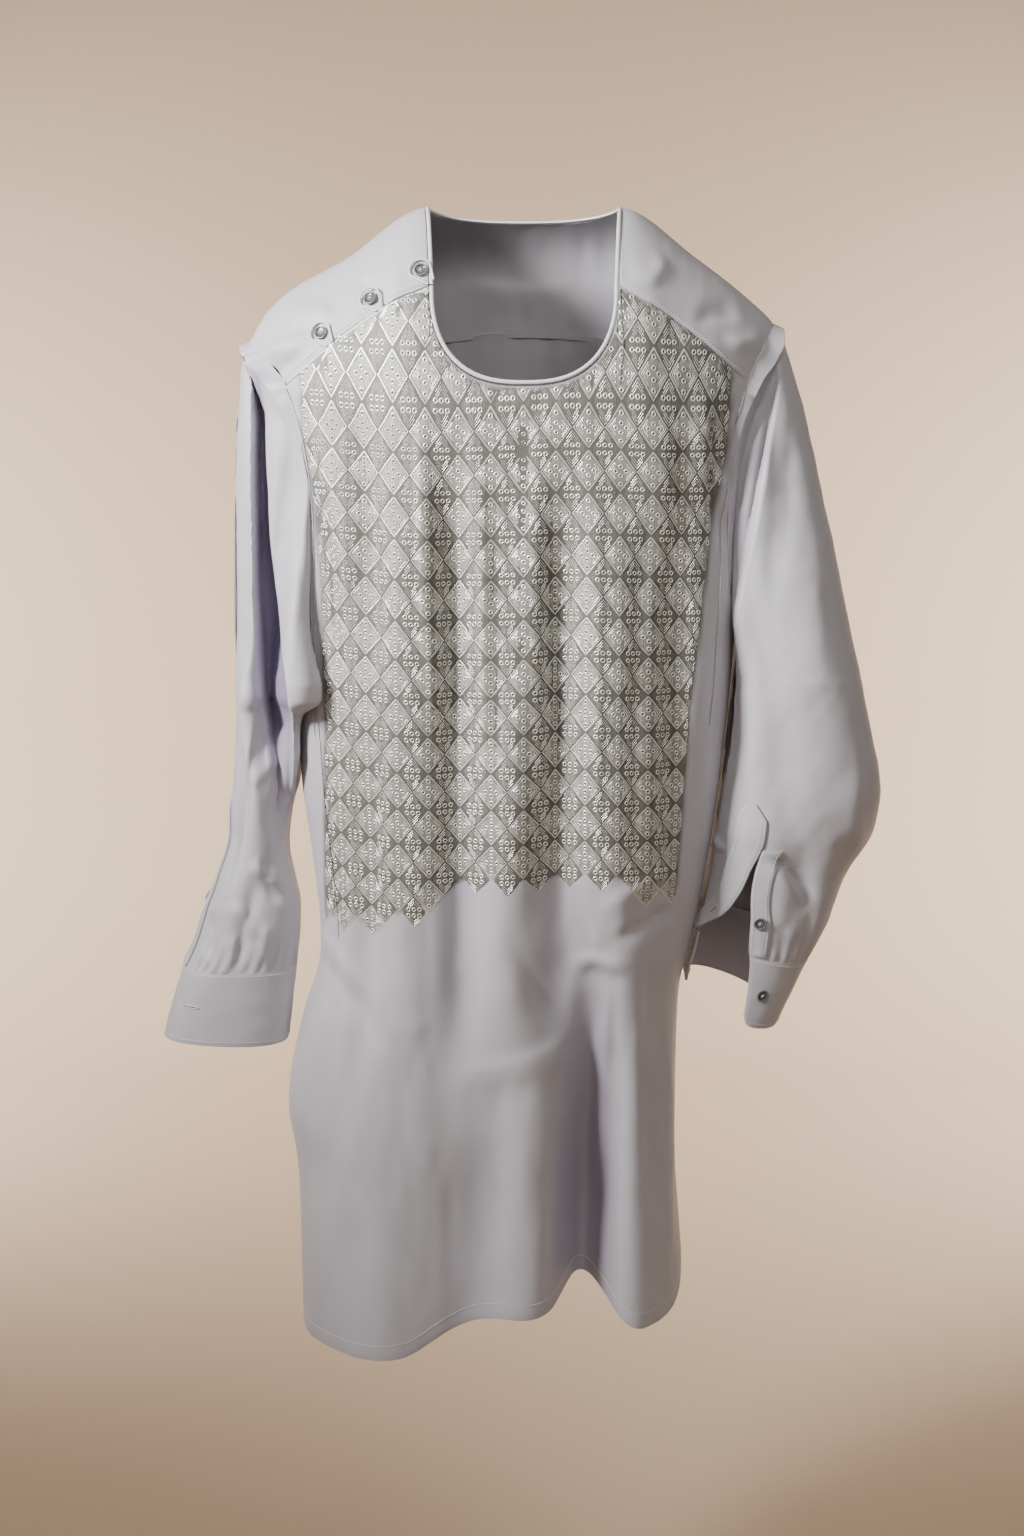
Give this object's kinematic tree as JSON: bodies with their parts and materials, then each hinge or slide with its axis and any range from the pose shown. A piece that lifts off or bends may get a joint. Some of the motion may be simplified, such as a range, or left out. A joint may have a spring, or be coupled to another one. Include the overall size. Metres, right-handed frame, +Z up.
{
  "type": "perahan tunic",
  "caption": "Long collarless cotton tunic with a yoke, a scooped neck, an embroidered front, a shoulder button opening, slit sleeves with buttoned cuffs and a shirt-tail hem.",
  "frame": {"origin": "midway between the two neck points of the shoulder seams, where a wearer's shoulders hold the garment", "axes": "+Z up along the body, +Y to the wearer's back, +X to the wearer's left"},
  "size_m": [0.6489, 0.2214, 1.0099],
  "materials": {
    "cloth": "soft satin",
    "piping": "satin",
    "pearl": "pearl"
  },
  "bodies": {
    "root": {"front": "cloth", "back": "cloth", "yoke": "cloth", "sleeve_right": "cloth", "sleeve_left": "cloth", "cuff_right": "cloth", "cuff_left": "cloth", "placket_right": "cloth", "placket_left": "cloth", "slit_band_right": "cloth", "slit_band_left": "cloth", "neck_binding": "piping", "front_edge_binding": "piping", "button_loop_1": "piping", "button_loop_2": "piping", "button_loop_3": "piping", "shoulder_button_1": "pearl", "shoulder_button_2": "pearl", "shoulder_button_3": "pearl", "cuff_button_right": "pearl", "cuff_button_left": "pearl", "placket_button_right": "pearl", "placket_button_left": "pearl"}
  },
  "joints": []
}
